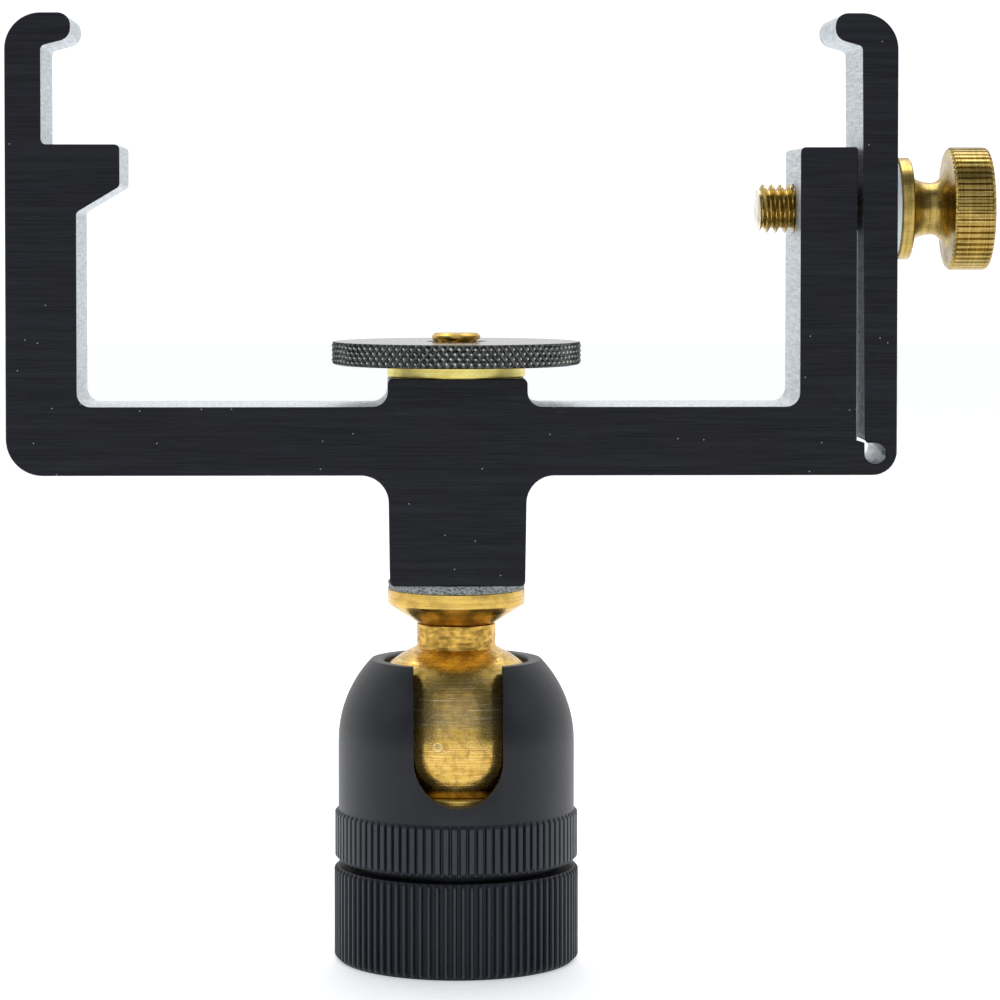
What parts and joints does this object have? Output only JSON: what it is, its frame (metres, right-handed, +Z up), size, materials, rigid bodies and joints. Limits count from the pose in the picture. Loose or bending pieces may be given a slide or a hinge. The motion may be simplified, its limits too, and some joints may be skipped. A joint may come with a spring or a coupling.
{
  "type": "watch movement holder",
  "caption": "Two-jaw yoke with a sprung arm and clamping thumbscrew, swivelling on a slotted spindle above a lockable ball joint with a knurled base ring.",
  "frame": {"origin": "centre of the base ring's underside, which is the mouth of its mounting thread", "axes": "+Z up along the spindle, +X along the yoke towards the thumbscrew, -Y the side that the dome's slot faces"},
  "size_m": [0.078, 0.02, 0.0754],
  "materials": {
    "satin_black_anodised": "fine satin black anodising on turned aluminium",
    "brushed_black_anodised": "black anodising over lengthwise brushing, with bare milled edges",
    "black_oxide_steel": "glossy black oxide",
    "turned_brass": "bright turned brass",
    "worn_brass": "turned brass with rings, scratches and tarnish",
    "grey_fibre": "matt mottled grey fibre",
    "white_nylon": "matt white nylon",
    "spring_steel": "bright spring steel"
  },
  "bodies": {
    "base": {"base_ring": "satin_black_anodised", "seat_spring": "spring_steel"},
    "seat": {"ball_seat": "turned_brass"},
    "dome": {"socket_dome": "satin_black_anodised"},
    "ball": {"ball_stud": "worn_brass", "flange_collar": "worn_brass", "spindle": "turned_brass", "friction_washer": "grey_fibre"},
    "yoke": {"yoke": "brushed_black_anodised"},
    "jaw_arm": {"jaw_arm": "brushed_black_anodised"},
    "disc_washer": {"disc_washer": "turned_brass"},
    "clamp_disc": {"clamp_disc": "black_oxide_steel"},
    "nylon_washer": {"nylon_washer": "white_nylon"},
    "thumbscrew": {"thumbscrew": "turned_brass"}
  },
  "joints": [
    {"name": "ball_release", "type": "slide", "parent": "base", "child": "seat", "axis": [0, 0, 1], "range_m": [0, 0.00051], "deforming": ["seat_spring"]},
    {"name": "lock_turn", "type": "hinge", "parent": "seat", "child": "dome", "pos_m": [0, 0, 0.01], "axis": [0, 0, 1], "range_deg": [0, 180]},
    {"name": "ball_tilt", "type": "hinge", "parent": "dome", "child": "ball", "pos_m": [0, 0, 0.0175], "axis": [1, 0, 0], "range_deg": [-18, 90]},
    {"name": "yoke_swivel", "type": "hinge", "parent": "ball", "child": "yoke", "pos_m": [0, 0, 0.04], "axis": [0, 0, 1], "continuous": true},
    {"name": "disc_rise", "type": "slide", "parent": "ball", "child": "disc_washer", "axis": [0, 0, 1], "range_m": [0, 0.00071]},
    {"name": "clamp_disc_turn", "type": "hinge", "parent": "disc_washer", "child": "clamp_disc", "pos_m": [0, 0, 0.0485], "axis": [0, 0, 1], "range_deg": [0, 360]},
    {"name": "thumbscrew_feed", "type": "slide", "parent": "yoke", "child": "nylon_washer", "axis": [1, 0, 0], "range_m": [-0.00029, 0.0002]},
    {"name": "thumbscrew_turn", "type": "hinge", "parent": "nylon_washer", "child": "thumbscrew", "pos_m": [0.036, 0, 0.0601], "axis": [1, 0, 0], "range_deg": [-150, 105]},
    {"name": "jaw_flex", "type": "hinge", "parent": "yoke", "child": "jaw_arm", "pos_m": [0.03417, 0, 0.0408], "axis": [0, 1, 0], "range_deg": [-0.88, 0.62]}
  ],
  "couplings": [
    {"joint": "ball_release", "follows": "lock_turn", "m_per_rad": 0.00015915},
    {"joint": "disc_rise", "follows": "clamp_disc_turn", "m_per_rad": 0.00011141},
    {"joint": "thumbscrew_turn", "follows": "thumbscrew_feed", "rad_per_m": 8976},
    {"joint": "jaw_flex", "follows": "thumbscrew_feed", "rad_per_m": 51.813}
  ]
}
